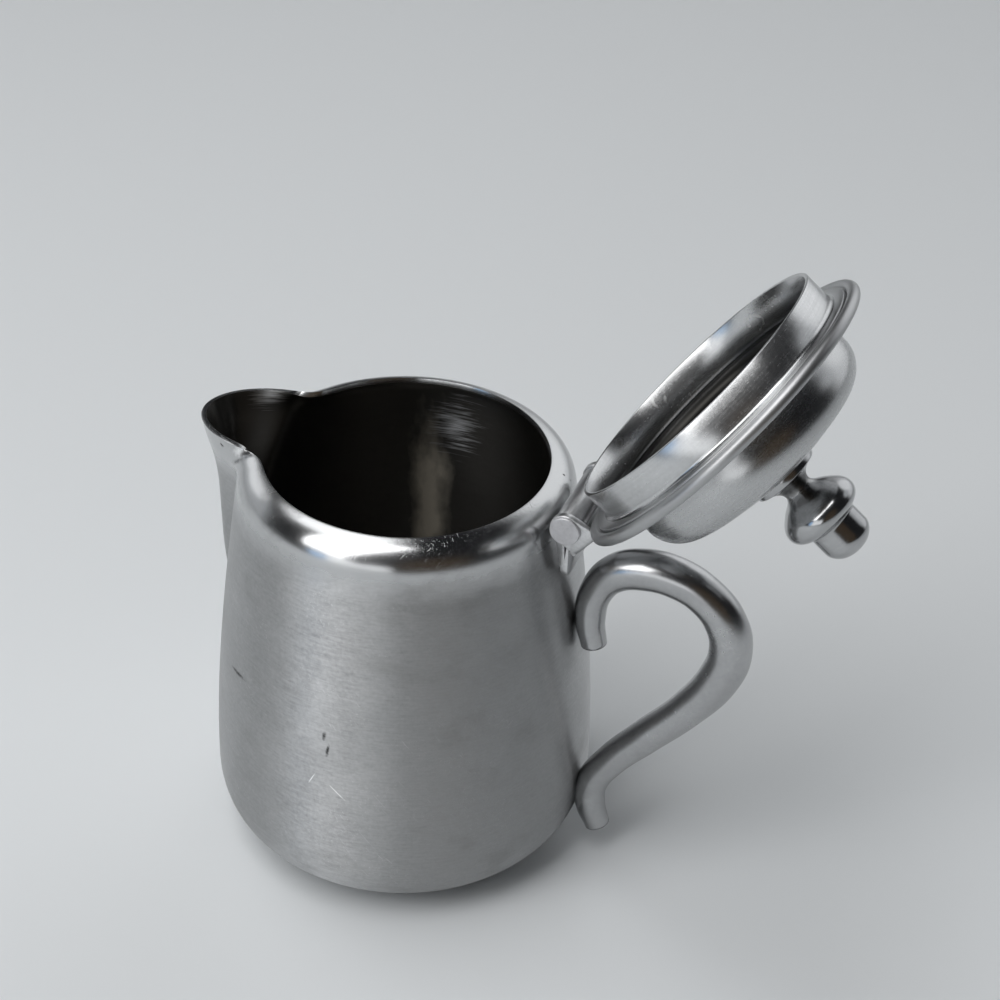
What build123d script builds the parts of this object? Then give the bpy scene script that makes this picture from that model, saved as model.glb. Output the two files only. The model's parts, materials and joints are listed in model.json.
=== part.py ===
from build123d import *
import os

os.makedirs("parts", exist_ok=True)

# Small stainless steel pouring pot with a hinged lid, in millimetres, +Z up.
# The origin is the middle of the face it stands on. The spout points to -X,
# the handle and the hinge are on +X, and the hinge pin lies along Y.
# The lid is drawn swung back on its stop, as the pot is filled and poured.

# Driving dimensions of the pot
pot_radius = 37.5
belly_height = 14.0
rim_height = 83.85
mouth_radius = 26.6
shoulder_radius = 6.15
shoulder_centre = (25.4, rim_height - shoulder_radius)
neck_taper = 8.0
mouth_angle = 79.0
wall = 1.0
foot_radius = 21.5
base_corner = (31.7, 4.2)
side_middle = (35.5, 46)
dish_radius = 18.5
dish_depth = 0.5
dish_step = 1.0

# Driving dimensions of the spout
spout_axis = 25.0
spout_back = 20.0
spout_wall = 1.0
spout_seam = 26.3
throat_reach = 28.0
throat_half_width = 10.4
throat_corner = 5.0
# height, reach from the pot's axis, half width where the half ellipse starts
spout_stations = [
    (38.0, 35.2, 3.4),
    (45.0, 38.2, 4.0),
    (52.0, 39.2, 4.5),
    (61.0, 39.4, 5.3),
    (70.0, 39.4, 7.3),
    (76.0, 39.9, 9.5),
    (80.0, 40.8, 10.7),
    (rim_height, 41.7, 11.3),
]

# Driving dimensions of the handle: its centre line in the plane of the spout, and
# the rod's radius at shares of its length
handle_points = [
    (38.4, 51.3),
    (37.3, 57.0),
    (38.2, 63.7),
    (41.6, 68.8),
    (47.0, 71.1),
    (53.0, 71.1),
    (58.6, 68.7),
    (62.8, 64.1),
    (64.4, 58.0),
    (62.9, 51.0),
    (57.4, 41.4),
    (50.2, 32.2),
    (43.6, 23.5),
    (40.2, 16.6),
    (40.2, 11.4),
    (42.0, 6.4),
]
rod_stations = [
    (0.00, 2.5),
    (0.04, 2.8),
    (0.10, 2.9),
    (0.17, 3.4),
    (0.23, 3.8),
    (0.32, 3.85),
    (0.40, 3.75),
    (0.48, 4.0),
    (0.54, 4.0),
    (0.62, 3.6),
    (0.72, 3.4),
    (0.82, 3.25),
    (0.90, 3.15),
    (0.96, 3.0),
    (1.00, 2.5),
]

# Driving dimensions of the hinge, with the lid shut
hinge_x = 34.3
hinge_z = 82.4
lid_opening = 128.2
pin_radius = 1.95
pin_head_radius = 2.8
pin_head_height = 0.6
pin_head_round = 0.2
running_fit = 0.05
leaf_sheet = 0.65
leaf_x = 34.05
leaf_foot = 70.8
leaf_corner = 2.0
leaf_neck_round = 1.5
leaf_seam_foot = 75.0
leaf_seam_width = 1.1
weld_top = 76.5
weld_root = 28.0
weld_length = 10.0
knuckle_radius = pin_radius + running_fit + leaf_sheet
knuckle_length = 16.0
channel_length = 19.0
ear_sheet = 1.2
ear_radius = 2.95
web_front = 30.4
web_back = 36.8
web_inside = 86.3
web_outside = 87.4
fold_radius = 1.5
stop_edge = 38.45
stop_length = 16.0
tongue_width = 14.0
tongue_tip = 17.0

# Driving dimensions of the lid, with the lid shut
collar_radius = 26.05
collar_edge = 78.2
collar_bend = 0.8
flange_height = 84.0
lid_sheet = 0.7
flange_edge = 28.5
bead_ring_radius = 29.75
bead_radius = 1.1
bead_height = 85.15
bead_bite = 0.4
dome_bend = 1.2
# radius and height of the dome's outside, from the foot of its wall to its crown
dome_side = [
    (22.6, flange_height + 2 * lid_sheet + dome_bend),
    (23.1, 90.7),
    (21.9, 94.3),
    (19.2, 96.2),
]
crown_slope = 16.0
crown_height = 99.8

# Driving dimensions of the knob and its screw, as radius and height with the lid shut
knob_root = 95.0
foot_disc_radius = 6.2
foot_disc_edge = 100.7
foot_flare = (3.6, 101.9)
neck = (2.6, 103.7)
cap_under = (4.9, 105.8)
cap_edge = (7.25, 109.2)
cap_over = (6.5, 110.9)
tip_foot = (4.65, 111.9)
tip_bend = (4.65, 115.4)
tip_round = (3.6, 117.5)
knob_top = 118.6
screw_radius = 1.5
screw_tip = 107.0
screw_head_radius = 3.2
screw_head_height = 1.8
screw_head_round = 0.9
screw_slot_width = 0.8
screw_slot_depth = 1.0

# How far a cutting solid stands out past what it cuts
over_cut = 1.0

# With the lid shut these planes are Plane.XY and Plane.XZ, so a height or a
# radius of the lid is written as it is measured on the closed pot.
lid_place = Pos(hinge_x, 0, hinge_z) * Rot(0, lid_opening, 0) * Pos(-hinge_x, 0, -hinge_z)
lid_plan = Plane(lid_place)
lid_section = Plane(lid_place * Plane.XZ.location)
lid_axis = Axis(lid_plan.origin, lid_plan.z_dir)
lid_forward = Axis(lid_plan.origin, lid_plan.x_dir)


def beside(edge, depth):
    """A curve that follows another one at the sheet's thickness, on its left."""
    steps = 8
    points = []
    for step in range(steps + 1):
        share = step / steps
        points.append(edge @ share + (edge % share).rotate(Axis.Z, 90) * depth)
    return Spline(points)


def draw_pot_side():
    """Outer line of the pot's side, from its foot to the edge of its mouth."""
    belly = (pot_radius, belly_height)
    corner = Spline((foot_radius, 0), base_corner, belly, tangents=((1, 0), (0, 1)))
    roll = CenterArc(shoulder_centre, shoulder_radius, neck_taper, mouth_angle - neck_taper)
    side = Spline(corner @ 1, side_middle, roll @ 0, tangents=(corner % 1, roll % 0))
    return corner, side, roll


def draw_dome_top():
    """Outer line of the dome, its steep side and its shallow crown, in the lid's section."""
    crown_way = Vector(-1, 0).rotate(Axis.Z, -crown_slope)
    side = Spline(dome_side, tangents=((0, 1), crown_way))
    crown = Spline(side @ 1, (0, crown_height), tangents=(crown_way, (-1, 0)))
    return side, crown


def spout_sections(inset):
    """Half ellipses that narrow from the spout's lip down to its toe."""
    sections = []
    for height, reach, half_width in spout_stations:
        nose = reach - spout_axis - inset
        side = half_width - inset
        with BuildSketch(Plane.XY.offset(height)) as section:
            with BuildLine():
                EllipticalCenterArc((-spout_axis, 0), nose, side, 90, arc_size=180)
                Polyline(
                    (-spout_axis, -side), (-spout_back, -side), (-spout_back, side), (-spout_axis, side)
                )
            make_face()
        sections.append(section.sketch)
    return sections


# The pot as a filled solid. It isn't a piece of the object: it trims whatever is
# welded to the wall, so that the two meet face to face.
with BuildPart() as pot_form:
    with BuildSketch(Plane.XZ):
        with BuildLine():
            lip = draw_pot_side()[-1] @ 1
            Polyline(lip, (0, lip.Y), (0, 0), (foot_radius, 0))
        make_face()
    revolve(axis=Axis.Z)

# The space inside the spout, which also opens the pot's wall into it
with BuildPart() as channel:
    loft(spout_sections(spout_wall))

# Pot: one drawn shell with its bottom, and a shoulder rolled in to the mouth
with BuildPart() as body_shell:
    with BuildSketch(Plane.XZ):
        with BuildLine():
            corner, side, roll = draw_pot_side()
            Polyline(
                corner @ 0, (dish_radius, 0), (dish_radius - dish_step, dish_depth), (0, dish_depth)
            )
            inner_corner = beside(corner, wall)
            beside(side, wall)
            inner_roll = CenterArc(
                shoulder_centre, shoulder_radius - wall, neck_taper, mouth_angle - neck_taper
            )
            Line(roll @ 1, inner_roll @ 1)
            Polyline(
                inner_corner @ 0,
                (dish_radius, wall),
                (dish_radius - dish_step, dish_depth + wall),
                (0, dish_depth + wall),
                (0, dish_depth),
            )
        make_face()
    revolve(axis=Axis.Z)
    add(channel.part, mode=Mode.SUBTRACT)
    with BuildSketch(Plane.XY.offset(rim_height - shoulder_radius)):
        Circle(mouth_radius)
        with Locations((-throat_reach / 2, 0)):
            Rectangle(throat_reach, 2 * throat_half_width)
        throat_corners = vertices().group_by(Axis.X)[1]
        fillet(throat_corners, throat_corner)
    extrude(amount=shoulder_radius + over_cut, mode=Mode.SUBTRACT)
body_shell.part.label = "body_shell"
export_step(body_shell.part, "parts/body_shell.step")

# Spout: a pressed lip, trimmed to the pot's wall and welded on it
with BuildPart() as pouring_spout:
    loft(spout_sections(0))
    add(channel.part, mode=Mode.SUBTRACT)
    add(pot_form.part, mode=Mode.SUBTRACT)
    split(bisect_by=Plane.YZ.offset(-spout_seam), keep=Keep.BOTTOM)
pouring_spout.part.label = "pouring_spout"
export_step(pouring_spout.part, "parts/pouring_spout.step")

# Handle: one tapered rod bent to a scroll, both ends curled off the wall and welded
with BuildLine(Plane.XZ) as handle_route:
    Spline(handle_points)
handle_line = handle_route.line
rod_sections = []
for share, radius in rod_stations:
    rod_plane = Plane(handle_line @ share, x_dir=(0, 1, 0), z_dir=handle_line % share)
    with BuildSketch(rod_plane) as rod_section:
        Circle(radius)
    rod_sections.append(rod_section.sketch)
with BuildPart() as handle:
    loft(rod_sections)
    for share, radius in (rod_stations[0], rod_stations[-1]):
        with Locations(handle_line @ share):
            Sphere(radius)
    add(pot_form.part, mode=Mode.SUBTRACT)
handle.part.label = "handle"
export_step(handle.part, "parts/handle.step")

# Hinge leaf: a strip rolled round the pin, its two ends laid together and welded to
# the wall below the shoulder. A seam is open between them under the pin.
with BuildPart() as hinge_leaf:
    with BuildSketch(Plane.XZ):
        with Locations((hinge_x, hinge_z)):
            Circle(knuckle_radius)
        with Locations((leaf_x, (leaf_foot + hinge_z) / 2)):
            Rectangle(2 * leaf_sheet, hinge_z - leaf_foot)
        neck_corners = vertices().group_by(Axis.Y)[1:-1]
        fillet([corner for row in neck_corners for corner in row], leaf_neck_round)
        with BuildLine():
            Polyline(
                (leaf_x, leaf_seam_foot),
                (leaf_x + leaf_seam_width / 2, hinge_z),
                (leaf_x - leaf_seam_width / 2, hinge_z),
                close=True,
            )
        make_face(mode=Mode.SUBTRACT)
        with Locations((hinge_x, hinge_z)):
            Circle(pin_radius + running_fit, mode=Mode.SUBTRACT)
    extrude(amount=knuckle_length / 2, both=True)
    leaf_corners = hinge_leaf.edges().filter_by(Axis.X).group_by(Axis.Z)[0]
    fillet(leaf_corners, leaf_corner)
    with BuildSketch(Plane.XZ):
        with Locations(((leaf_x + weld_root) / 2, (leaf_foot + weld_top) / 2)):
            Rectangle(leaf_x - weld_root, weld_top - leaf_foot)
    extrude(amount=weld_length / 2, both=True)
    add(pot_form.part, mode=Mode.SUBTRACT)
hinge_leaf.part.label = "hinge_leaf"
export_step(hinge_leaf.part, "parts/hinge_leaf.step")

# Hinge pin: a flat headed rivet through both ears and the knuckle, its far end set over
with BuildPart() as hinge_pin:
    with BuildSketch(Plane.XZ):
        with Locations((hinge_x, hinge_z)):
            Circle(pin_radius)
    extrude(amount=channel_length / 2, both=True)
    for side in (-1, 1):
        head_plane = Plane((hinge_x, side * channel_length / 2, hinge_z), z_dir=(0, side, 0))
        with BuildSketch(head_plane):
            Circle(pin_head_radius)
        extrude(amount=pin_head_height)
    near_rim = hinge_pin.edges().filter_by(GeomType.CIRCLE).sort_by(Axis.Y)[0]
    fillet(near_rim, pin_head_round)
    far_rim = hinge_pin.edges().filter_by(GeomType.CIRCLE).sort_by(Axis.Y)[-1]
    fillet(far_rim, pin_head_height / 2)
hinge_pin.part.label = "hinge_pin"
export_step(hinge_pin.part, "parts/hinge_pin.step")

# The dome as a filled solid, which only trims what is fastened on it
with BuildPart() as dome_form:
    with BuildSketch(lid_section):
        with BuildLine():
            side, crown = draw_dome_top()
            Polyline(crown @ 1, (0, flange_height), ((side @ 0).X, flange_height), side @ 0)
        make_face()
    revolve(axis=lid_axis)

# Lid dome: pressed sheet with a flat flange and a wired bead round its edge
with BuildPart() as lid_dome:
    with BuildSketch(lid_section):
        with BuildLine():
            side, crown = draw_dome_top()
            inner_side = beside(side, lid_sheet)
            inner_crown = beside(crown, lid_sheet)
            Line(crown @ 1, inner_crown @ 1)
            wall_foot = (side @ 0).X + dome_bend
            flange_top = flange_height + 2 * lid_sheet
            flange_under = flange_height + lid_sheet
            flange_end = flange_edge + bead_bite
            bend = TangentArc(side @ 0, (wall_foot, flange_top), tangent=(0, -1))
            inner_bend = TangentArc(inner_side @ 0, (wall_foot, flange_under), tangent=(0, -1))
            Polyline(
                bend @ 1, (flange_end, flange_top), (flange_end, flange_under), inner_bend @ 1
            )
        make_face()
        with Locations((bead_ring_radius, bead_height)):
            Circle(bead_radius)
    revolve(axis=lid_axis)
    with BuildSketch(lid_plan):
        Circle(screw_radius)
    extrude(amount=crown_height + over_cut, mode=Mode.SUBTRACT)
lid_dome.part.label = "lid_dome"
export_step(lid_dome.part, "parts/lid_dome.step")

# Lid collar: a flanged ring under the dome that drops into the mouth
with BuildPart() as lid_collar:
    with BuildSketch(lid_section):
        with BuildLine():
            side = Line((collar_radius, collar_edge), (collar_radius, flange_height - collar_bend))
            bend = TangentArc(
                side @ 1, (collar_radius + collar_bend, flange_height), tangent=(0, 1)
            )
            Line(bend @ 1, (flange_edge, flange_height))
            offset(amount=lid_sheet, side=Side.LEFT)
        make_face()
    revolve(axis=lid_axis)
lid_collar.part.label = "lid_collar"
export_step(lid_collar.part, "parts/lid_collar.step")

# Lid bracket: a folded channel whose ears carry the pin, with a tongue welded to the
# dome. Between the ears its web runs on to a narrower edge, which meets the leaf and
# stops the lid.
with BuildPart() as lid_bracket:
    with BuildSketch(lid_section):
        with Locations((hinge_x, hinge_z)):
            Circle(ear_radius)
        with Locations(((web_front + web_back) / 2, (web_inside + web_outside) / 2)):
            Rectangle(web_back - web_front, web_outside - web_inside)
        make_hull()
    extrude(amount=channel_length / 2, both=True)
    fold_edges = lid_bracket.edges().filter_by(lid_forward).sort_by(lid_axis)[-2:]
    fillet(fold_edges, fold_radius)
    with BuildSketch(lid_section):
        with Locations((hinge_x, web_inside)):
            Rectangle(channel_length, channel_length, align=(Align.CENTER, Align.MAX))
    extrude(amount=channel_length / 2 - ear_sheet, both=True, mode=Mode.SUBTRACT)
    with BuildSketch(lid_section):
        with Locations(((hinge_x + stop_edge) / 2, (web_inside + web_outside) / 2)):
            Rectangle(stop_edge - hinge_x, web_outside - web_inside)
    extrude(amount=stop_length / 2, both=True)
    with BuildSketch(lid_section):
        with Locations((hinge_x, hinge_z)):
            Circle(pin_radius)
    extrude(amount=channel_length, both=True, mode=Mode.SUBTRACT)
    with BuildSketch(lid_section):
        with Locations(((tongue_tip + web_front) / 2, (web_inside + web_outside) / 2)):
            Rectangle(web_front - tongue_tip, web_outside - web_inside)
    extrude(amount=tongue_width / 2, both=True)
    add(dome_form.part, mode=Mode.SUBTRACT)
    add(lid_dome.part, mode=Mode.SUBTRACT)
lid_bracket.part.label = "lid_bracket"
export_step(lid_bracket.part, "parts/lid_bracket.step")

# Knob: turned in one piece with a flared foot, a mushroom and a round ended tip
with BuildPart() as lid_knob:
    with BuildSketch(lid_section):
        with BuildLine():
            Polyline((0, knob_root), (foot_disc_radius, knob_root), (foot_disc_radius, foot_disc_edge))
            ThreePointArc((foot_disc_radius, foot_disc_edge), foot_flare, neck)
            Spline(neck, cap_under, cap_edge, tangents=((0.3, 1), (0, 1)))
            ThreePointArc(cap_edge, cap_over, tip_foot)
            Line(tip_foot, tip_bend)
            Spline(tip_bend, tip_round, (0, knob_top), tangents=((0, 1), (-1, 0)))
            Line((0, knob_top), (0, knob_root))
        make_face()
    revolve(axis=lid_axis)
    add(dome_form.part, mode=Mode.SUBTRACT)
    with BuildSketch(lid_plan):
        Circle(screw_radius)
    extrude(amount=screw_tip, mode=Mode.SUBTRACT)
lid_knob.part.label = "lid_knob"
export_step(lid_knob.part, "parts/lid_knob.step")

# Knob screw: pan headed, from inside the dome up into the knob
with BuildPart() as knob_screw:
    screw_head = lid_plan.offset(crown_height - lid_sheet - screw_head_height)
    with BuildSketch(screw_head):
        Circle(screw_head_radius)
    extrude(amount=screw_head_height + lid_sheet / 2)
    head_rim = knob_screw.edges().filter_by(GeomType.CIRCLE).sort_by(lid_axis)[0]
    fillet(head_rim, screw_head_round)
    add(lid_dome.part, mode=Mode.SUBTRACT)
    with BuildSketch(screw_head):
        Rectangle(2 * screw_head_radius, screw_slot_width)
    extrude(amount=screw_slot_depth, mode=Mode.SUBTRACT)
    with BuildSketch(screw_head.offset(screw_slot_depth)):
        Circle(screw_radius)
    extrude(amount=screw_tip - crown_height + lid_sheet + screw_head_height - screw_slot_depth)
knob_screw.part.label = "knob_screw"
export_step(knob_screw.part, "parts/knob_screw.step")
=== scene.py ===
import json
import math

import bpy
from mathutils import Euler, Matrix, Vector
from mathutils.geometry import interpolate_bezier


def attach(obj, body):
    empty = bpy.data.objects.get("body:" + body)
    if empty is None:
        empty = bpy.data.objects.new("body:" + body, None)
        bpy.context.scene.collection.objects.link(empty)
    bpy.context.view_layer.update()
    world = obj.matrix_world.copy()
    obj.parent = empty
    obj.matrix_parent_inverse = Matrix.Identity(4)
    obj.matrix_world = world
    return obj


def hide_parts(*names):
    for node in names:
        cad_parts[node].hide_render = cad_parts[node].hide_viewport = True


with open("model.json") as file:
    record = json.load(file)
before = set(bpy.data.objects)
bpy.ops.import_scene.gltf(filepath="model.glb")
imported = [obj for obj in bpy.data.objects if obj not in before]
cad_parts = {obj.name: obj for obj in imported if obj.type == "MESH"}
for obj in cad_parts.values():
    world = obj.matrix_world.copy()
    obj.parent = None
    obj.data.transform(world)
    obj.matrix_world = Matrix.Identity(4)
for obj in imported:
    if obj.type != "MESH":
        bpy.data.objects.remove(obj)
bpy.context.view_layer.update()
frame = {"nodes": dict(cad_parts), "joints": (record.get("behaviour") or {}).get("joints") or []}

mm = 0.001

# The pot is one sheet of stainless steel, drawn to a cup, with its shoulder rolled in
# to the mouth. The spout is a second pressed sheet, welded over a V shaped opening and
# ground smooth, so that the two read as one skin. Satin brushed round the pot.
foot_radius = 21.5
foot_ease = 0.44
dish_ring = 14.5
dish_radius = 18.5
dish_step = 1.0
dish_depth = 0.5
belly = (37.5, 14.0)
side_ease = 0.31
wall = 1.0
rim_round = 0.35
shoulder_centre = (25.4, 77.7)
shoulder_radius = 6.15
neck_taper = 8.0
mouth_angle = 79.0
pot_columns = 320
# share of an even turn by which the mesh's columns move towards the spout
crowding = 0.45
spout_axis = 25.0
# height, reach from the pot's axis, half width where the half ellipse starts
spout_stations = (
    (24.0, 24.0, 2.2),
    (32.0, 31.0, 2.8),
    (38.0, 35.2, 3.4),
    (45.0, 38.2, 4.0),
    (52.0, 39.2, 4.5),
    (61.0, 39.4, 5.3),
    (70.0, 39.4, 7.3),
    (76.0, 39.9, 9.5),
    (80.0, 40.8, 10.7),
    (83.85, 41.7, 11.3),
)
# width of the soft weld below and at the lip, and the heights between which it grows
spout_blend = (3.0, 6.0)
blend_heights = (74.0, 82.0)
# half of the pot's turn, in radians, in which the spout lies
spout_turn = 1.2
# how often the search for the skin halves its gap
halvings = 22
# the groove of the weld beside the mouth, on its near side: where it starts and ends
seam_line = ((-26.2, -11.1, 83.2), (-30.9, -9.4, 79.2))
seam_width = 0.5
seam_groove = 0.65
seam_ridge = 0.4
# shares of the groove's length from its middle, where it begins to fade and where it ends
seam_full = 0.35
seam_end = 0.8


def deselect():
    bpy.ops.object.select_all(action="DESELECT")


def arc(centre, radius, start, end, steps):
    """Points of an outline on a round stretch, with its angles in degrees."""
    points = []
    for i in range(steps + 1):
        angle = math.radians(start + (end - start) * i / steps)
        points.append((centre[0] + radius * math.cos(angle), centre[1] + radius * math.sin(angle)))
    return points


def flow(knots, steps, ease=0.36):
    """Points of an outline that runs smoothly through knots of (point, direction)."""
    points = [knots[0][0]]
    for (start, start_way), (end, end_way) in zip(knots, knots[1:]):
        a, b = Vector(start), Vector(end)
        reach = (b - a).length * ease
        first = a + Vector(start_way).normalized() * reach
        last = b - Vector(end_way).normalized() * reach
        stretch = interpolate_bezier(a, first, last, b, steps + 1)
        points += [(point.x, point.y) for point in stretch[1:]]
    return points


def turned(name, outline, columns):
    """A solid of revolution about the Z axis, spun from an outline in millimetres."""
    deselect()
    radius, height = outline[0]
    bpy.ops.mesh.primitive_plane_add(location=(0, 0, 0))
    piece = bpy.context.object
    piece.name = name
    bpy.ops.object.mode_set(mode="EDIT")
    bpy.ops.mesh.merge(type="CENTER")
    bpy.ops.transform.translate(value=(radius * mm, 0, height * mm))
    for (r0, z0), (r1, z1) in zip(outline, outline[1:]):
        step = ((r1 - r0) * mm, 0, (z1 - z0) * mm)
        bpy.ops.mesh.extrude_region_move(TRANSFORM_OT_translate={"value": step})
    bpy.ops.mesh.select_all(action="SELECT")
    bpy.ops.mesh.spin(steps=columns, angle=2 * math.pi, center=(0, 0, 0), axis=(0, 0, 1))
    bpy.ops.mesh.select_all(action="SELECT")
    bpy.ops.mesh.remove_doubles(threshold=0.001 * mm)
    bpy.ops.mesh.normals_make_consistent(inside=False)
    bpy.ops.object.mode_set(mode="OBJECT")
    bpy.ops.object.shade_smooth()
    return piece


def apply_modifier(piece, kind, **settings):
    """Adds one modifier with these settings and applies it."""
    modifier = piece.modifiers.new(kind.lower(), kind)
    for key, value in settings.items():
        setattr(modifier, key, value)
    deselect()
    bpy.context.view_layer.objects.active = piece
    piece.select_set(True)
    bpy.ops.object.modifier_apply(modifier=modifier.name)


def crowd_towards_spout(piece):
    """Turns the mesh's columns so that they stand closer together at the spout."""
    for vertex in piece.data.vertices:
        radius = math.hypot(vertex.co.x, vertex.co.y)
        turn = math.atan2(vertex.co.y, -vertex.co.x)
        turn -= crowding * math.sin(turn)
        vertex.co.x = -radius * math.cos(turn)
        vertex.co.y = radius * math.sin(turn)


def at_height(height):
    """Reach and half width of the spout at a height, smooth from station to station."""
    height = min(max(height, spout_stations[0][0]), spout_stations[-1][0])
    for i in range(len(spout_stations) - 1):
        low, high = spout_stations[i], spout_stations[i + 1]
        if height <= high[0]:
            break
    before = spout_stations[max(i - 1, 0)]
    after = spout_stations[min(i + 2, len(spout_stations) - 1)]
    span = high[0] - low[0]
    t = (height - low[0]) / span
    values = []
    for k in (1, 2):
        slope_low = (high[k] - before[k]) / (high[0] - before[0]) * span
        slope_high = (after[k] - low[k]) / (after[0] - low[0]) * span
        values.append(
            (2 * t**3 - 3 * t**2 + 1) * low[k]
            + (t**3 - 2 * t**2 + t) * slope_low
            + (3 * t**2 - 2 * t**3) * high[k]
            + (t**3 - t**2) * slope_high
        )
    return values


def outside_spout(forward, across, reach, half_width):
    """Distance from the spout's section, which is a strip that ends in a half ellipse."""
    if forward < spout_axis:
        return abs(across) - half_width
    nose = reach - spout_axis
    u = (forward - spout_axis) / nose
    v = across / half_width
    level = math.hypot(u, v)
    if level < 1e-6:
        return -half_width
    slope = math.hypot(u / nose, v / half_width) / level
    return (level - 1) / slope


def press_spout(piece):
    """Draws the pot's skin out to the spout, with a soft weld where the two meet."""
    narrow, broad = spout_blend
    blend_from, blend_full = blend_heights
    for vertex in piece.data.vertices:
        x, y, z = vertex.co / mm
        radius = math.hypot(x, y)
        turn = math.atan2(y, -x)
        if radius < 1 or z < spout_stations[0][0] or abs(turn) > spout_turn:
            continue
        reach, half_width = at_height(z)
        rise = min(max((z - blend_from) / (blend_full - blend_from), 0), 1)
        blend = narrow + (broad - narrow) * rise
        low, high = radius, max(radius, reach) + blend
        for _ in range(halvings):
            middle = (low + high) / 2
            from_pot = middle - radius
            from_spout = outside_spout(
                middle * math.cos(turn), middle * math.sin(turn), reach, half_width
            )
            near = max(blend - abs(from_pot - from_spout), 0) / blend
            if min(from_pot, from_spout) - near**3 * blend / 6 < 0:
                low = middle
            else:
                high = middle
        vertex.co.x *= low / radius
        vertex.co.y *= low / radius


def press_seam(piece):
    """Presses the weld's groove in the skin, and beside it a low ridge."""
    start, end = [Vector(point) * mm for point in seam_line]
    along = end - start
    across = along.cross(Vector((0, 0, 1))).normalized()
    moves = {}
    for vertex in piece.data.vertices:
        share = (vertex.co - start).dot(along) / along.length_squared
        from_middle = abs(share - 0.5)
        offset = vertex.co - (start + along * share)
        if from_middle >= seam_end or offset.length > 3 * seam_width * mm:
            continue
        fade = 1 - max(from_middle - seam_full, 0) / (seam_end - seam_full)
        step = offset.dot(across) / (seam_width * mm)
        ridge = seam_ridge * math.exp(-((step - 1.6) ** 2))
        groove = seam_groove * math.exp(-(step**2) * 2)
        moves[vertex.index] = vertex.normal * (ridge - groove) * fade * mm
    for index, move in moves.items():
        piece.data.vertices[index].co += move


neck_way = (-math.sin(math.radians(neck_taper)), math.cos(math.radians(neck_taper)))
shoulder = arc(shoulder_centre, shoulder_radius, neck_taper, mouth_angle, steps=22)
pot_outline = [(0, dish_depth), (dish_ring, dish_depth), (dish_radius - dish_step, dish_depth)]
pot_outline += [(dish_radius, 0), (foot_radius, 0)]
pot_outline += flow([((foot_radius, 0), (1, 0)), (belly, (0, 1))], 16, foot_ease)[1:]
pot_outline += flow([(belly, (0, 1)), (shoulder[0], neck_way)], 40, side_ease)[1:]
pot_outline += shoulder[1:]
pot = turned("pot_with_spout", pot_outline, pot_columns)
crowd_towards_spout(pot)
press_spout(pot)
press_seam(pot)
outer_count = len(pot.data.vertices)
apply_modifier(pot, "SOLIDIFY", thickness=wall * mm, offset=-1, use_even_offset=True)
inner_skin = pot.data.attributes.new("inside", "FLOAT", "POINT")
for vertex in pot.data.vertices:
    inner_skin.data[vertex.index].value = float(vertex.index >= outer_count)
apply_modifier(
    pot, "BEVEL", width=rim_round * mm, segments=3,
    limit_method="ANGLE", angle_limit=math.radians(50),
)

# The pot's steel is satin brushed in rings below and polished on the shoulder, whose
# lighter colour is partly a painted highlight, and its inside is painted dark as shade.
# These are its colours, its roughnesses and the sizes of its grains.
satin_colour = (0.45, 0.455, 0.458)
satin_roughness = 0.46
satin_grain = (3.2, 3.2, 0.4)
# lighter than the satin: partly a painted highlight on the polished shoulder
polish_colour_and_highlight = (0.54, 0.545, 0.55)
polish_roughness = 0.2
# heights between which the satin turns to the polish, and how ragged the border is
polish_heights = (73.0, 79.0)
border_grain = (2.5, 2.5, 1.5)
border_depth = 0.8
smudge_colour = (0.27, 0.267, 0.262)
smudge_roughness = 0.5
smudge_grain = (17, 17, 9)
smudge_band = (0.56, 0.7)
smudge_strength = 0.3
# painted shade inside the pot: its inner skin is darkened
inside_shade_colour = (0.11, 0.104, 0.094)
inside_roughness = 0.33
inside_band = (0.85, 0.99)
inside_shade_strength = 0.9
# marks in the finish, and a painted highlight by the spout's notch: middle, half sizes
# along, into and across it, its way, grey, roughness
pot_marks_and_painted_highlight = (
    ((-0.7, -35.7, 43.4), (1.1, 0.8, 0.5), (0.1, 0, 1), 0.05, 0.6),
    ((0.1, -36.0, 40.4), (1.6, 0.8, 0.4), (0.15, 0, 1), 0.05, 0.6),
    ((-22.3, -27.7, 45.0), (3.0, 0.5, 0.5), (4.6, -3.6, 0.7), 0.08, 0.6),
    ((13.5, -33.0, 52.5), (1.3, 0.8, 0.22), (0.5, 0, -1), 0.08, 0.6),
    ((28.3, 6.6, 82.6), (0.4, 0.3, 0.3), (0, 0, 1), 0.05, 0.6),
    ((29.4, 7.1, 81.4), (0.3, 0.25, 0.25), (0, 0, 1), 0.05, 0.6),
    ((-33.4, -9.3, 82.2), (0.6, 0.8, 0.4), (1, 0, -0.5), 0.08, 0.5),
    # a painted highlight: a white patch beside the spout's notch
    ((-28.6, -10.6, 82.8), (2.0, 2.0, 1.2), (-4.3, 1.15, -2.0), 1.0, 0.22),
    # a near black stripe along the seam, below it
    ((-28.3, -10.5, 81.3), (3.4, 2.0, 0.6), (-4.3, 1.15, -3.45), 0.012, 0.4),
    ((2.2, -36.8, 31.3), (2.2, 0.8, 0.16), (3.0, 0, -2.6), 0.85, 0.4),
    ((-3.0, -36.6, 33.0), (1.6, 0.8, 0.14), (-1.0, 0, -2.0), 0.85, 0.4),
)
# painted highlights inside the pot: the same with a colour, then the grain that tears the edge, how
# far
painted_inside_highlights = (
    ((-9.0, 33.0, 50.0), (46.0, 4.6, 4.6), (0, 0, 1), (0.62, 0.57, 0.48), 0.5, (4, 4, 9), 0.5),
    ((-3.0, 31.3, 70.5), (6.5, 9.0, 9.0), (1, 0, -0.25), (0.8, 0.82, 0.85), 0.45, (7, 7, 0.4), 1.1),
    ((-33.5, 9.0, 82.6), (4.5, 3.0, 2.8), (1, 0.2, 0.3), (1.0, 1.0, 1.0), 0.3, (7, 7, 0.3), 0.9),
)
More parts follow.
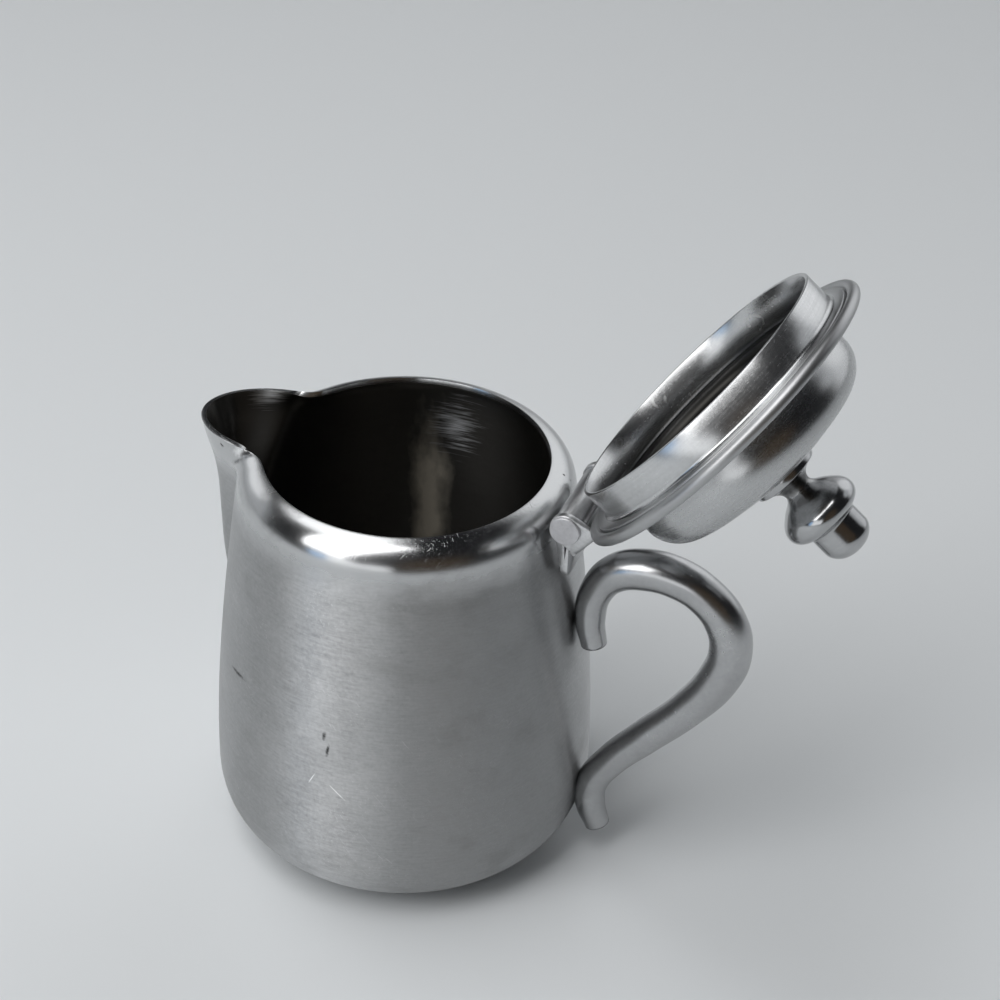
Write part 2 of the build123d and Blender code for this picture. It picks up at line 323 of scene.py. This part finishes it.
# every brushed piece has these grains besides its rings, in millimetres
speckle_grain = (0.7, 0.7, 0.7)
handling_grain = (11, 11, 11)
wear_grain = (16, 16, 16)
scratch_grain = (9, 0.3, 0.3)
scratch_turns = ((0.5, 0.9, 0.2), (-0.4, -0.6, 1.1), (1.3, 0.25, -0.8))
speckle_share = 0.45
handling_share = 0.35
# the stretch of a noise's values that each is drawn from
tone_band = (0.36, 0.64)
rough_band = (0.34, 0.66)
scratch_band = (0.69, 0.73)
wear_band = (0.46, 0.6)
tear_band = (0.3, 0.7)
# how far colour and roughness swing down and up where a finish is uneven
tone_swing = (0.16, 0.14)
rough_swing = (0.2, 0.22)
# how much lighter and rougher a scratch is than the steel round it
scratch_tone = 1.4
scratch_roughness = 1.1
# distances from a mark's middle, in its half sizes, where it is full and where it ends
mark_edge = (0.5, 1.3)
mark_strength = 0.95


def steel(name, colour, roughness, anisotropy):
    """A stainless steel material and its shader, ready for its grain."""
    material = bpy.data.materials.new(name)
    material.use_nodes = True
    shader = material.node_tree.nodes["Principled BSDF"]
    shader.inputs["Base Color"].default_value = (*colour, 1)
    shader.inputs["Metallic"].default_value = 1
    shader.inputs["Roughness"].default_value = roughness
    shader.inputs["Anisotropic"].default_value = anisotropy
    return material, shader


def node(material, kind, values=None, **settings):
    """A new shader node with its settings and the values of its sockets."""
    made = material.node_tree.nodes.new(kind)
    for key, value in settings.items():
        setattr(made, key, value)
    for key, value in (values or {}).items():
        made.inputs[key].default_value = value
    return made


def link(material, source, target):
    material.node_tree.links.new(source, target)


def noise(material, place, grain, turn=(0, 0, 0), detail=3.0):
    """Random values whose grains have a size in millimetres, along turned axes."""
    grain_frame = {"Rotation": turn, "Scale": Vector(grain) * mm}
    own = node(material, "ShaderNodeMapping", grain_frame, vector_type="TEXTURE")
    link(material, place, own.inputs["Vector"])
    made = node(material, "ShaderNodeTexNoise", {"Scale": 1.0, "Detail": detail, "Roughness": 0.6})
    link(material, own.outputs["Vector"], made.inputs["Vector"])
    return made.outputs["Fac"]


def ranged(material, value, band, to_low=0.0, to_high=1.0):
    """A value carried from one band to another one, and held at its ends."""
    ends = {"From Min": band[0], "From Max": band[1], "To Min": to_low, "To Max": to_high}
    made = node(material, "ShaderNodeMapRange", ends)
    link(material, value, made.inputs["Value"])
    return made.outputs["Result"]


def blended(material, first, second, share):
    """Two values mixed with a share of the second."""
    made = node(material, "ShaderNodeMix", {"Factor": share}, data_type="FLOAT")
    link(material, first, made.inputs["A"])
    link(material, second, made.inputs["B"])
    return made.outputs["Result"]


def worked(material, operation, first, second):
    """The result of one sum on two values."""
    made = node(material, "ShaderNodeMath", operation=operation)
    for value, socket in zip((first, second), made.inputs):
        if isinstance(value, float):
            socket.default_value = value
        else:
            link(material, value, socket)
    return made.outputs["Value"]


def attribute(material, name):
    """The value that a piece's mesh holds under a name."""
    return node(material, "ShaderNodeAttribute", attribute_name=name).outputs["Fac"]


def lay_over(material, mask, colour, roughness):
    """Lays another colour and roughness over a material where a mask is 1."""
    shader = material.node_tree.nodes["Principled BSDF"]
    tint = node(material, "ShaderNodeMix", data_type="RGBA")
    link(material, mask, tint.inputs["Factor"])
    link(material, shader.inputs["Base Color"].links[0].from_socket, tint.inputs["A"])
    tint.inputs["B"].default_value = (*colour, 1)
    link(material, tint.outputs["Result"], shader.inputs["Base Color"])
    polish = node(material, "ShaderNodeMix", {"B": roughness}, data_type="FLOAT")
    link(material, mask, polish.inputs["Factor"])
    link(material, shader.inputs["Roughness"].links[0].from_socket, polish.inputs["A"])
    link(material, polish.outputs["Result"], shader.inputs["Roughness"])


def turn_round_axis(material, shader, place, frame_at, frame_turn):
    """Lays the shader's tangent round the Z axis of a frame, along the brushing."""
    axis = Euler(frame_turn).to_matrix() @ Vector((0, 0, 1))
    arm = node(material, "ShaderNodeVectorMath", {1: frame_at}, operation="SUBTRACT")
    link(material, place, arm.inputs[0])
    ring_way = node(material, "ShaderNodeVectorMath", {0: axis}, operation="CROSS_PRODUCT")
    link(material, arm.outputs["Vector"], ring_way.inputs[1])
    world_way = node(
        material, "ShaderNodeVectorTransform",
        vector_type="VECTOR", convert_from="OBJECT", convert_to="WORLD",
    )
    link(material, ring_way.outputs["Vector"], world_way.inputs["Vector"])
    link(material, world_way.outputs["Vector"], shader.inputs["Tangent"])
    # a quarter of a turn draws the reflections out across the rings
    shader.inputs["Anisotropic Rotation"].default_value = 0.25


def brushed(name, colour, roughness, grain, frame_at=(0, 0, 0), frame_turn=(0, 0, 0),
            depth=0.02, anisotropy=0.0, scratched=0.5, uneven=1.0):
    """Steel brushed round the Z axis of its own frame: rings of fine scratches and a
    fine speckle in its bump, roughness and colour, thin scratches the other ways, and
    soft handling marks. With anisotropy, its reflections are drawn out across the rings."""
    material, shader = steel(name, colour, roughness, anisotropy)
    place = node(material, "ShaderNodeTexCoord").outputs["Object"]
    frame_of_piece = {"Location": frame_at, "Rotation": frame_turn}
    turned_place = node(material, "ShaderNodeMapping", frame_of_piece, vector_type="TEXTURE")
    link(material, place, turned_place.inputs["Vector"])
    own = turned_place.outputs["Vector"]
    rings = noise(material, own, grain)
    speckle = noise(material, own, speckle_grain, detail=2.0)
    handling = noise(material, own, handling_grain, detail=4.0)
    fine = blended(material, rings, speckle, speckle_share)
    mixed = blended(material, fine, handling, handling_share)
    tone = node(material, "ShaderNodeMix", data_type="RGBA")
    link(material, ranged(material, mixed, tone_band), tone.inputs["Factor"])
    tone.inputs["A"].default_value = (*(Vector(colour) * (1 - tone_swing[0] * uneven)), 1)
    tone.inputs["B"].default_value = (*(Vector(colour) * (1 + tone_swing[1] * uneven)), 1)
    link(material, tone.outputs["Result"], shader.inputs["Base Color"])
    smoothest = roughness * (1 - rough_swing[0] * uneven)
    roughest = roughness * (1 + rough_swing[1] * uneven)
    rough = ranged(material, mixed, rough_band, smoothest, roughest)
    link(material, rough, shader.inputs["Roughness"])
    scratches = None
    for turn in scratch_turns:
        thin = ranged(material, noise(material, own, scratch_grain, turn, 1.0), scratch_band)
        scratches = worked(material, "MAXIMUM", scratches, thin) if scratches else thin
    worn = ranged(material, noise(material, own, wear_grain), wear_band, 0.0, scratched)
    scratches = worked(material, "MULTIPLY", scratches, worn)
    lay_over(material, scratches, Vector(colour) * scratch_tone, roughness * scratch_roughness)
    height = worked(material, "SUBTRACT", fine, scratches)
    bump = node(material, "ShaderNodeBump", {"Strength": 0.5, "Distance": depth * mm})
    link(material, height, bump.inputs["Height"])
    link(material, bump.outputs["Normal"], shader.inputs["Normal"])
    if anisotropy:
        turn_round_axis(material, shader, place, frame_at, frame_turn)
    return material


def oblong_patch(material, at, size, way, colour, roughness, grain=(0.5, 0.5, 0.5), torn=0.45,
           only=None):
    """An oblong patch laid over a finish, with its half sizes in millimetres and a torn edge. It
    draws marks, painted highlights and painted shade.
    """
    place = node(material, "ShaderNodeTexCoord").outputs["Object"]
    turn = Vector(way).to_track_quat("X", "Z").to_euler()
    oblong = {"Location": Vector(at) * mm, "Rotation": turn, "Scale": Vector(size) * mm}
    own = node(material, "ShaderNodeMapping", oblong, vector_type="TEXTURE")
    link(material, place, own.inputs["Vector"])
    away = node(material, "ShaderNodeVectorMath", operation="LENGTH")
    link(material, own.outputs["Vector"], away.inputs[0])
    tear = ranged(material, noise(material, place, grain), tear_band, 0.0, torn)
    away = worked(material, "ADD", away.outputs["Value"], tear)
    mask = ranged(material, away, mark_edge, mark_strength, 0.0)
    if only:
        mask = worked(material, "MULTIPLY", mask, only)
    lay_over(material, mask, colour, roughness)


def finish_piece(piece, material, body, *stands_for, slot):
    """Gives a piece its material and body, and hides the CAD nodes that it stands for. The slot is
    not used.
    """
    piece.data.materials.clear()
    piece.data.materials.append(material)
    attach(piece, body)
    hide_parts(*stands_for)


pot_steel = brushed(
    "pot_satin_steel", satin_colour, satin_roughness, satin_grain, anisotropy=0.85, depth=0.03,
    scratched=0.6, uneven=1.2,
)
place = node(pot_steel, "ShaderNodeTexCoord").outputs["Object"]
place_parts = node(pot_steel, "ShaderNodeSeparateXYZ")
link(pot_steel, place, place_parts.inputs["Vector"])
border = noise(pot_steel, place, border_grain)
border = ranged(pot_steel, border, tear_band, -border_depth * mm, border_depth * mm)
polished_and_highlighted = worked(pot_steel, "ADD", place_parts.outputs["Z"], border)
polished_and_highlighted = ranged(pot_steel, polished_and_highlighted, [height * mm for height in polish_heights])
# the polished shoulder is smoother, and its lighter colour is partly a painted highlight
lay_over(pot_steel, polished_and_highlighted, polish_colour_and_highlight, polish_roughness)
smudges = noise(pot_steel, place, smudge_grain, detail=5.0)
smudges = ranged(pot_steel, smudges, smudge_band, 0.0, smudge_strength)
lay_over(pot_steel, smudges, smudge_colour, smudge_roughness)
inside_pot = attribute(pot_steel, "inside")
# painted shade: the inner skin is darkened
painted_inside_shade = ranged(pot_steel, inside_pot, inside_band, 0.0, inside_shade_strength)
lay_over(pot_steel, painted_inside_shade, inside_shade_colour, inside_roughness)
# marks in the finish, and the painted highlight by the spout's notch
for at, size, way, grey, roughness in pot_marks_and_painted_highlight:
    oblong_patch(pot_steel, at, size, way, (grey, grey, grey), roughness)
# painted highlights on the inner skin
for at, size, way, colour, roughness, grain, torn in painted_inside_highlights:
    oblong_patch(pot_steel, at, size, way, colour, roughness, grain, torn, inside_pot)
finish_piece(pot, pot_steel, "pot", "body_shell", "pouring_spout", slot="pot_satin")

# The handle is one tapered steel rod, bent to a scroll and polished. Its ends curl off
# the wall and are rounded, and it is welded to the pot where it touches it.
handle_colour = (0.45, 0.454, 0.46)
# the rod's middle, as a distance from the pot's axis and a height, and its radius
handle_route = (
    (38.4, 51.3, 2.5),
    (37.3, 57.0, 2.9),
    (38.2, 63.7, 3.15),
    (41.6, 68.8, 3.6),
    (47.0, 71.1, 3.85),
    (53.0, 71.1, 3.85),
    (58.6, 68.7, 3.75),
    (62.8, 64.1, 3.9),
    (64.4, 58.0, 4.0),
    (62.9, 51.0, 3.95),
    (57.4, 41.4, 3.55),
    (50.2, 32.2, 3.4),
    (43.6, 23.5, 3.2),
    (40.2, 16.6, 3.15),
    (40.2, 11.4, 3.0),
    (42.0, 6.4, 2.5),
)
end_round = 2.1
# only the two end caps have more corners than this
side_corners = 8
deselect()
bpy.ops.curve.primitive_bezier_curve_add(location=(0, 0, 0))
rod = bpy.context.object
rod_line = rod.data.splines[0]
rod_line.bezier_points.add(len(handle_route) - 2)
for point, (x, z, radius) in zip(rod_line.bezier_points, handle_route):
    point.co = (x * mm, 0, z * mm)
    point.radius = radius
    point.handle_left_type = "AUTO"
    point.handle_right_type = "AUTO"
rod_line.radius_interpolation = "CARDINAL"
rod.data.bevel_depth = mm
rod.data.bevel_resolution = 14
rod.data.resolution_u = 14
rod.data.use_fill_caps = True
bpy.ops.object.convert(target="MESH")
handle = bpy.context.object
handle.name = "scroll_handle"
bpy.ops.object.mode_set(mode="EDIT")
bpy.ops.mesh.select_all(action="SELECT")
bpy.ops.mesh.remove_doubles(threshold=0.001 * mm)
bpy.ops.mesh.select_all(action="DESELECT")
bpy.ops.object.mode_set(mode="OBJECT")
for face in handle.data.polygons:
    face.select = len(face.vertices) > side_corners
bpy.ops.object.mode_set(mode="EDIT")
bpy.ops.mesh.region_to_loop()
bpy.ops.mesh.bevel(offset=end_round * mm, segments=8, profile=0.5)
bpy.ops.mesh.select_all(action="SELECT")
bpy.ops.mesh.normals_make_consistent(inside=False)
bpy.ops.object.mode_set(mode="OBJECT")
bpy.ops.object.shade_smooth()
handle_steel = brushed(
    "handle_polished_steel", handle_colour, 0.25, (2.5, 2.5, 2.5), depth=0.012, scratched=0.3,
    uneven=0.6,
)
finish_piece(handle, handle_steel, "pot", "handle", slot="handle_polish")

# The lid's dome is pressed from one sheet, with a flat flange that ends in a bead curled
# over a wire. It is made as if the lid were shut and is then swung back about the pin,
# since the lid rests open. Brushed round its own axis, rougher on the flange, whose darker
# colour is painted shade, and painted dark inside as shade.
sheet = 0.7
flange_top = 85.4
bead_centre = (29.75, 85.15)
bead_radius = 1.1
# angles at which the bead leaves the top and the underside of the flange
bead_ends = (166, -156)
dome_bend = 1.2
wall_foot = (23.8, flange_top + dome_bend)
crown_slope = (-0.961, 0.276)
side_knots = (
    ((22.6, 86.6), (0, 1)),
    ((23.1, 90.7), (0, 1)),
    ((21.9, 94.3), (-0.6, 0.8)),
    ((19.2, 96.2), crown_slope),
)
crown_top = (0, 99.8)
crown_ease = 0.34
lid_columns = 256
# radius to which the dome's underside counts as its inside
hollow_radius = 28.0
# radius where the rougher flange with its painted shade begins, and how soon it is full
rim_from = 26.5
rim_width = 0.8
# the flange's darker colour is painted shade
rim_shade_colour = (0.42, 0.424, 0.43)
rim_roughness = 0.42
rim_strength = 0.85
dome_colour = (0.5, 0.505, 0.51)
# painted shade inside the dome
dome_inside_shade_colour = (0.03, 0.029, 0.027)
dome_inside_roughness = 0.35

hinge = frame["joints"][0]
hinge_at = Vector(hinge["pos_m"])
opening = -math.radians(hinge["range_deg"][0])
turn_about_pin = Matrix.Rotation(opening, 4, "Y")
swing = Matrix.Translation(hinge_at) @ turn_about_pin @ Matrix.Translation(-hinge_at)
lid_at = swing.translation
lid_turn = (0, opening, 0)


def swing_open(piece):
    """Swings a piece of the shut lid back to where it rests."""
    deselect()
    piece.matrix_world = swing
    bpy.context.view_layer.objects.active = piece
    piece.select_set(True)
    bpy.ops.object.transform_apply(location=True, rotation=True, scale=True)


def inward(knots, depth):
    """Knots of the same line, moved to its left by a depth in the sheet."""
    return [
        ((x - depth * dy / math.hypot(dx, dy), z + depth * dx / math.hypot(dx, dy)), (dx, dy))
        for (x, z), (dx, dy) in knots
    ]


def dome_line(depth):
    """The dome's line from the foot of its wall to its crown, at a depth in the sheet."""
    crown_knots = [(side_knots[-1][0], crown_slope), (crown_top, (-1, 0))]
    side = flow(inward(side_knots, depth), 8)
    crown = flow(inward(crown_knots, depth), 14, crown_ease)
    return side + crown[1:]


def rim_share(piece):
    """Marks how far each point of a piece of the lid belongs to its flange."""
    share = piece.data.attributes.new("rim", "FLOAT", "POINT")
    for vertex in piece.data.vertices:
        radius = math.hypot(vertex.co.x, vertex.co.y)
        share.data[vertex.index].value = min(max((radius / mm - rim_from) / rim_width, 0), 1)


def dull_and_shade_rim(material):
    """Makes the flange of the lid rougher than the rest of its finish, and darker with painted
    shade.
    """
    share = ranged(material, attribute(material, "rim"), (0.0, 1.0), 0.0, rim_strength)
    lay_over(material, share, rim_shade_colour, rim_roughness)


dome_outline = dome_line(0)[::-1]
dome_outline += arc(wall_foot, dome_bend, 180, 270, steps=6)[1:]
dome_outline += arc(bead_centre, bead_radius, *bead_ends, steps=20)
dome_outline += arc(wall_foot, dome_bend + sheet, 270, 180, steps=6)[:-1]
dome_outline += dome_line(sheet)
dome = turned("lid_cover", dome_outline, lid_columns)
underside = dome.data.attributes.new("inside", "FLOAT", "POINT")
for vertex in dome.data.vertices:
    radius = math.hypot(vertex.co.x, vertex.co.y)
    faces_in = vertex.normal.dot(Vector((vertex.co.x, vertex.co.y, radius))) < 0
    underside.data[vertex.index].value = float(faces_in and radius < hollow_radius * mm)
rim_share(dome)
swing_open(dome)
dome_steel = brushed(
    "lid_satin_steel", dome_colour, 0.27, (14, 14, 0.3), lid_at, lid_turn,
    anisotropy=0.5, depth=0.006, scratched=0.15, uneven=0.35,
)
# rougher flange, darkened with painted shade
dull_and_shade_rim(dome_steel)
# painted shade: the dome's underside is darkened
painted_dome_shade = ranged(dome_steel, attribute(dome_steel, "inside"), (0.2, 0.8))
lay_over(dome_steel, painted_dome_shade, dome_inside_shade_colour, dome_inside_roughness)
finish_piece(dome, dome_steel, "lid", "lid_dome", slot="lid_satin")

# The collar is a flanged ring of the same sheet, spot welded under the flange. It drops
# into the mouth and keeps the lid in place. Its inside is turned bright, with the rings
# of the welding tips and one dark smudge.
collar_radius = 26.05
collar_edge = 78.2
collar_bend = (26.85, 83.2)
bend_radius = 0.8
collar_flange = 84.0
flange_end = 28.5
edge_round = 0.12
# the collar's sheet is this much thinner, which keeps it just off the dome's flange
weld_gap = 0.03
collar_sheet = sheet - weld_gap
collar_colour = (0.55, 0.555, 0.56)
# marks of the welding tips, with the lid shut: where, and how wide
collar_marks = (
    ((18.6, 17.2, 79.9), 1.2),
    ((-2.2, 25.2, 81.5), 1.5),
)
# distances from a ring's line where it is full and where it ends
ring_edge = (0.1, 0.35)
ring_strength = 0.7
ring_colour = (0.75, 0.75, 0.75)
collar_smudge_at = (24.3, 7.1, 79.6)
collar_smudge_size = (2.0, 0.8, 0.8)
collar_smudge_way = (0.6, 0.5, 0.6)
collar_smudge_colour = (0.14, 0.14, 0.135)


def ringed(material, at, radius):
    """A faint ring pressed in a finish by a welding tip, broken here and there."""
    place = node(material, "ShaderNodeTexCoord").outputs["Object"]
    away = node(material, "ShaderNodeVectorMath", {1: at}, operation="DISTANCE")
    link(material, place, away.inputs[0])
    from_line = worked(material, "SUBTRACT", away.outputs["Value"], radius * mm)
    from_line = worked(material, "ABSOLUTE", from_line, 0.0)
    ring = ranged(material, from_line, [edge * mm for edge in ring_edge], ring_strength, 0.0)
    broken = ranged(material, noise(material, place, (1.6, 1.6, 1.6)), (0.5, 0.6))
    lay_over(material, worked(material, "MULTIPLY", ring, broken), ring_colour, 0.4)


collar_outline = [(collar_radius, collar_edge + edge_round)]
collar_outline += arc(collar_bend, bend_radius, 180, 90, steps=6)
collar_outline += [
    (flange_end - edge_round, collar_flange),
    (flange_end, collar_flange + edge_round),
    (flange_end, collar_flange + collar_sheet),
]
collar_outline += arc(collar_bend, bend_radius + collar_sheet, 90, 180, steps=6)
collar_outline += [
    (collar_radius - sheet, collar_edge + edge_round),
    (collar_radius - sheet + edge_round, collar_edge),
    (collar_radius - edge_round, collar_edge),
    (collar_radius, collar_edge + edge_round),
]
collar = turned("lid_rim_collar", collar_outline, lid_columns)
rim_share(collar)
swing_open(collar)
collar_steel = brushed(
    "collar_turned_steel", collar_colour, 0.25, (16, 16, 0.35), lid_at, lid_turn,
    anisotropy=0.5, depth=0.006, scratched=0.2, uneven=0.8,
)
# rougher flange, darkened with painted shade
dull_and_shade_rim(collar_steel)
for at, radius in collar_marks:
    ringed(collar_steel, swing @ (Vector(at) * mm), radius)
smudge_at = swing @ (Vector(collar_smudge_at) * mm) / mm
oblong_patch(
    collar_steel, smudge_at, collar_smudge_size, collar_smudge_way, collar_smudge_colour, 0.4
)
finish_piece(collar, collar_steel, "lid", "lid_collar", slot="lid_satin")

# The knob is turned from bar in one piece and polished: a flared foot, a neck, a
# mushroom and a round ended tip. A screw through the dome holds it. The neck is painted
# dark: painted shade under the mushroom.
knob_colour = (0.44, 0.444, 0.45)
knob_columns = 128
knob_foot = [(0, 98.2), (5.9, 98.2), (6.2, 98.5), (6.2, 100.5), (6.1, 100.7)]
knob_neck = [((6.1, 100.7), (-1, 0.1)), ((3.6, 101.9), (-0.8, 0.55)), ((2.6, 103.7), (0.05, 1))]
knob_bell = [((2.6, 103.7), (0.3, 1)), ((4.9, 105.8), (0.75, 0.66)), ((7.25, 109.2), (0, 1))]
knob_cap = [((7.25, 109.2), (0, 1)), ((6.5, 110.9), (-0.75, 0.66)), ((4.65, 111.9), (-0.6, 0.3))]
knob_tip = [
    ((4.65, 111.9), (0, 1)),
    ((4.65, 115.4), (0, 1)),
    ((3.6, 117.5), (-0.72, 0.7)),
    ((0, 118.6), (-1, 0)),
]
neck_middle = 102.4
# the dark band round the neck is painted shade
neck_shade_size = (2.4, 6.5, 6.5)
neck_shade_colour = (0.09, 0.088, 0.085)
knob_outline = list(knob_foot)
for knots in (knob_neck, knob_bell, knob_cap, knob_tip):
    knob_outline += flow(knots, 9)[1:]
knob = turned("lid_top_knob", knob_outline, knob_columns)
swing_open(knob)
knob_steel = brushed(
    "knob_polished_steel", knob_colour, 0.18, (8, 8, 0.35), lid_at, lid_turn,
    anisotropy=0.3, depth=0.006, scratched=0.2, uneven=0.5,
)
neck_shade_at = swing @ Vector((0, 0, neck_middle * mm)) / mm
knob_way = swing.to_3x3() @ Vector((0, 0, 1))
# painted shade round the neck, under the mushroom
oblong_patch(knob_steel, neck_shade_at, neck_shade_size, knob_way, neck_shade_colour, 0.4, (2, 2, 2), 0.4)
finish_piece(knob, knob_steel, "lid", "lid_knob", slot="knob_polish")

# The hinge is a strip rolled round a flat headed rivet, and a folded channel with two
# ears that hangs the lid on it. They are cut from sheet, with their edges just broken.
# The screw from inside the dome holds the knob.
edge_break = 0.1
merge_gap = 0.004
hinge_colour = (0.62, 0.624, 0.63)
pin_colour = (0.6, 0.595, 0.61)


def with_broken_edges(node_name, name):
    """A copy of a CAD piece as one skin, with its sharp edges rounded a little."""
    deselect()
    piece = bpy.data.objects.new(name, frame["nodes"][node_name].data.copy())
    bpy.context.scene.collection.objects.link(piece)
    bpy.context.view_layer.objects.active = piece
    piece.select_set(True)
    bpy.ops.object.mode_set(mode="EDIT")
    bpy.ops.mesh.select_all(action="SELECT")
    bpy.ops.mesh.remove_doubles(threshold=merge_gap * mm)
    bpy.ops.mesh.dissolve_limited(angle_limit=math.radians(1))
    bpy.ops.object.mode_set(mode="OBJECT")
    apply_modifier(
        piece, "BEVEL", width=edge_break * mm, segments=2,
        limit_method="ANGLE", angle_limit=math.radians(40),
    )
    bpy.ops.object.shade_smooth_by_angle(angle=math.radians(35))
    return piece


hinge_steel = brushed(
    "hinge_bright_steel", hinge_colour, 0.36, (0.6, 6, 0.6), depth=0.015, scratched=0.4
)
pin_steel = brushed(
    "pin_matte_steel", pin_colour, 0.5, (1.2, 1.2, 1.2), depth=0.03, scratched=0.3
)
for node_name, name, material, body, slot in (
    ("hinge_leaf", "rolled_hinge_leaf", hinge_steel, "pot", "hinge_steel"),
    ("lid_bracket", "folded_lid_bracket", hinge_steel, "lid", "hinge_steel"),
    ("hinge_pin", "hinge_rivet", pin_steel, "lid", "pin_steel"),
    ("knob_screw", "pan_head_screw", hinge_steel, "lid", "screw_steel"),
):
    finish_piece(with_broken_edges(node_name, name), material, body, node_name, slot=slot)

# The floor is a plain pale sheet that keeps the object's shadow. It is so wide that its
# far edge is out of the camera's view.
floor_size = 12.0
floor_colour = (0.74, 0.762, 0.775)
deselect()
bpy.ops.mesh.primitive_plane_add(size=floor_size, location=(0, 0, 0))
floor = bpy.context.object
floor.name = "floor"
floor_paint = bpy.data.materials.new("floor_pale")
floor_paint.use_nodes = True
floor_shader = floor_paint.node_tree.nodes["Principled BSDF"]
floor_shader.inputs["Base Color"].default_value = (*floor_colour, 1)
floor_shader.inputs["Roughness"].default_value = 0.9
floor.data.materials.append(floor_paint)

# The camera stands where the photograph was taken from. Its angles and its distance
# were fitted to the outlines of the pot and the lid.
view_turn = math.radians(19.88)
view_height = math.radians(34.76)
view_roll = math.radians(2.39)
view_distance = 0.3592
view_target = Vector((0.01846, 0, 0.07843))
focal_pixels = 1962
image_pixels = 1000
sensor_width = 36
view_axis = Vector((
    math.sin(view_turn) * math.cos(view_height),
    -math.cos(view_turn) * math.cos(view_height),
    math.sin(view_height),
))
facing = (
    Matrix.Rotation(view_turn, 3, "Z")
    @ Matrix.Rotation(math.pi / 2 - view_height, 3, "X")
    @ Matrix.Rotation(view_roll, 3, "Z")
)
camera_at = view_target + view_axis * view_distance
deselect()
bpy.ops.object.camera_add(location=camera_at, rotation=facing.to_euler())
camera = bpy.context.object
camera.data.sensor_width = sensor_width
camera.data.lens = focal_pixels * sensor_width / image_pixels
camera.data.clip_start = 0.01
bpy.context.scene.camera = camera

# The light is one broad soft lamp, high on the left in front of the object and aimed at
# its middle.
lamp_direction = Vector((-0.32, -0.5, 0.82))
lamp_distance = 1.2
lamp_target = Vector((0, 0, 0.05))
lamp_away = lamp_direction.normalized() * lamp_distance
lamp_turn = lamp_away.to_track_quat("Z", "Y").to_euler()
deselect()
bpy.ops.object.light_add(type="AREA", location=lamp_away + lamp_target, rotation=lamp_turn)
lamp = bpy.context.object
lamp.name = "broad_soft_lamp"
lamp.data.shape = "RECTANGLE"
lamp.data.size = 0.66
lamp.data.size_y = 1.5
lamp.data.energy = 11.5

# The studio is dark with pale patches, which the steel reflects as its bright bands.
# Each patch is a soft edged spot of the sky about a direction. Past the floor's edge the
# camera itself sees a plain pale colour.
studio_dark = (0.018, 0.0185, 0.02)
backdrop = (0.52, 0.54, 0.55)
# direction, half angle where it is full, half angle where it ends, colour
pale_patches = (
    ((0.33, 0.91, 0.26), 20, 45, (0.83, 0.85, 0.87)),
    ((0.16, 0.86, 0.49), 16, 25, (1.1, 1.12, 1.14)),
    ((0.6, 0.5, 0.62), 4, 16, (0.6, 0.62, 0.64)),
    ((-0.95, 0.25, 0.15), 20, 32, (0.5, 0.52, 0.54)),
    ((-0.84, 0.34, 0.42), 10, 16, (1.2, 1.22, 1.24)),
    ((-0.41, 0.17, 0.9), 14, 20, (2.0, 2.02, 2.04)),
    ((0.62, -0.74, 0.3), 12, 30, (0.07, 0.052, 0.036)),
    ((-0.3, -0.95, 0.1), 8, 18, (1.4, 1.42, 1.44)),
    ((0.05, -1.0, 0.08), 8, 15, (1.4, 1.42, 1.44)),
    ((-0.55, -0.83, 0.12), 4, 9, (0.55, 0.85, 1.25)),
)
world = bpy.data.worlds.new("studio")
bpy.context.scene.world = world
world.use_nodes = True
background = world.node_tree.nodes["Background"]
background.inputs["Strength"].default_value = 1.0
sky = node(world, "ShaderNodeTexCoord").outputs["Generated"]
sky_colour = None
for direction, full, end, colour in pale_patches:
    nearness = node(world, "ShaderNodeVectorMath", operation="DOT_PRODUCT")
    link(world, sky, nearness.inputs[0])
    nearness.inputs[1].default_value = Vector(direction).normalized()
    edge = {"From Min": math.cos(math.radians(end)), "From Max": math.cos(math.radians(full))}
    patch = node(world, "ShaderNodeMapRange", edge, interpolation_type="SMOOTHSTEP")
    link(world, nearness.outputs["Value"], patch.inputs["Value"])
    mixed = node(world, "ShaderNodeMix", data_type="RGBA")
    link(world, patch.outputs["Result"], mixed.inputs["Factor"])
    mixed.inputs["A"].default_value = (*studio_dark, 1)
    if sky_colour:
        link(world, sky_colour, mixed.inputs["A"])
    mixed.inputs["B"].default_value = (*colour, 1)
    sky_colour = mixed.outputs["Result"]
seen = node(world, "ShaderNodeMix", data_type="RGBA")
link(world, node(world, "ShaderNodeLightPath").outputs["Is Camera Ray"], seen.inputs["Factor"])
link(world, sky_colour, seen.inputs["A"])
seen.inputs["B"].default_value = (*backdrop, 1)
link(world, seen.outputs["Result"], background.inputs["Color"])

bpy.context.scene.view_settings.view_transform = "Standard"
